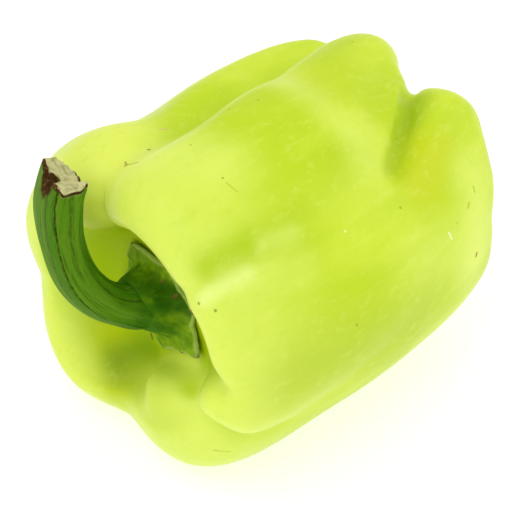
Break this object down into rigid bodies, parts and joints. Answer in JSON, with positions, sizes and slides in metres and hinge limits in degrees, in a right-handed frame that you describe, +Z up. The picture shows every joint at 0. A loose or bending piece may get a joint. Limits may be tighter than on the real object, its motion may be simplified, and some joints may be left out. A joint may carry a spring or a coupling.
{
  "type": "bell pepper",
  "caption": "Bell pepper lying on its side: a blocky fruit with uneven twisted lobes and a puckered far end, a toothed calyx sunk in its hollow stem end and a ribbed stem bent like a hook.",
  "frame": {"origin": "on the surface that the pepper lies on, under the middle of its bounding box", "axes": "+X from the stem end to the blossom end, +Z up, +Y to the left when looking from the stem end to the blossom end"},
  "size_m": [0.1102, 0.0872, 0.0878],
  "materials": {
    "fruit_skin": "waxy smooth pale green skin, softly glossy",
    "calyx_green": "leathery mid green with paler veins and edge",
    "stem_green": "ribbed dark green, dry and pale on the cut"
  },
  "bodies": {
    "root": {"fruit": "fruit_skin", "calyx": "calyx_green", "stem": "stem_green"}
  },
  "joints": []
}
